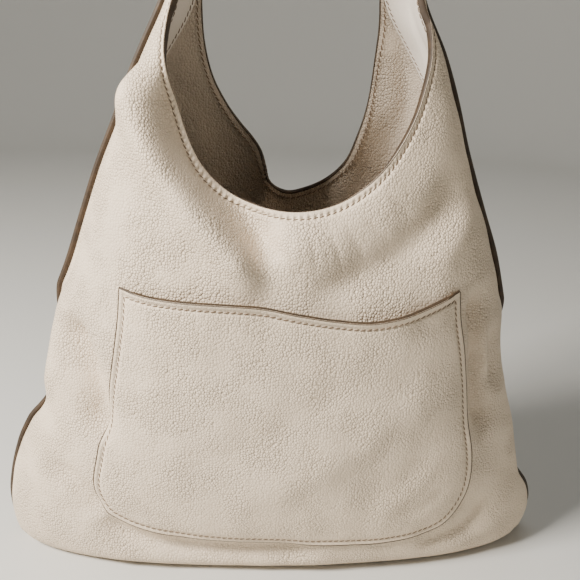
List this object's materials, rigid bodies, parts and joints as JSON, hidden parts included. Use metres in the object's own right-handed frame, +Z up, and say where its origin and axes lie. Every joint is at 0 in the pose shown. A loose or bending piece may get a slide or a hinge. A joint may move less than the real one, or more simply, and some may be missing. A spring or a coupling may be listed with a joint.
{
  "type": "hobo bag",
  "caption": "Slouchy pebbled-leather shoulder bag with scooped mouth, strap growing out of the sides, front patch pocket and painted edges.",
  "frame": {"origin": "on the floor under the middle of the base, on the line of the side seams", "axes": "+X along the width to the right seen from the front, +Y towards the back (the patch pocket faces -Y), +Z up"},
  "size_m": [0.4112, 0.1545, 0.5134],
  "materials": {
    "pebbled_leather": "pebbled, satin",
    "facing_leather": "pebbled, satin",
    "smooth_leather": "smooth, satin",
    "strap_core": "matt split leather",
    "lining_fabric": "fine twill",
    "base_board": "matt board",
    "edge_paint": "flexible edge paint, satin",
    "snap_metal": "plated, satin",
    "zip_tape": "woven tape",
    "zip_metal": "plated, satin"
  },
  "bodies": {
    "bag": {"front_panel": "pebbled_leather", "back_panel": "pebbled_leather", "front_pocket": "pebbled_leather", "front_facing": "facing_leather", "back_facing": "facing_leather", "front_lining": "lining_fabric", "back_lining": "lining_fabric", "front_pocket_lining": "lining_fabric", "zip_pocket": "lining_fabric", "base_stiffener": "base_board", "body_piping": "edge_paint", "front_rim_edge": "edge_paint", "back_rim_edge": "edge_paint", "pocket_top_edge": "edge_paint", "snap_socket": "snap_metal", "snap_stud": "snap_metal", "zip_tape_upper": "zip_tape", "zip_tape_lower": "zip_tape", "zip_teeth_upper": "zip_metal", "zip_teeth_lower": "zip_metal"},
    "strap": {"strap_outer_front": "pebbled_leather", "strap_outer_back": "pebbled_leather", "strap_lining": "smooth_leather", "strap_core": "strap_core", "strap_piping": "edge_paint", "strap_edge_front": "edge_paint", "strap_edge_back": "edge_paint"},
    "slider": {"zip_slider": "zip_metal"},
    "pull": {"zip_pull": "zip_metal"}
  },
  "joints": [
    {"name": "strap_swing", "type": "hinge", "parent": "bag", "child": "strap", "pos_m": [0, 0, 0.412], "axis": [1, 0, 0], "range_deg": [-70, 70]},
    {"name": "zip_slide", "type": "slide", "parent": "bag", "child": "slider", "axis": [1, 0, 0], "range_m": [-0.132, 0]},
    {"name": "pull_swing", "type": "hinge", "parent": "slider", "child": "pull", "pos_m": [0.066, 0.0499, 0.196], "axis": [0, 0, 1], "range_deg": [0, 160]}
  ]
}
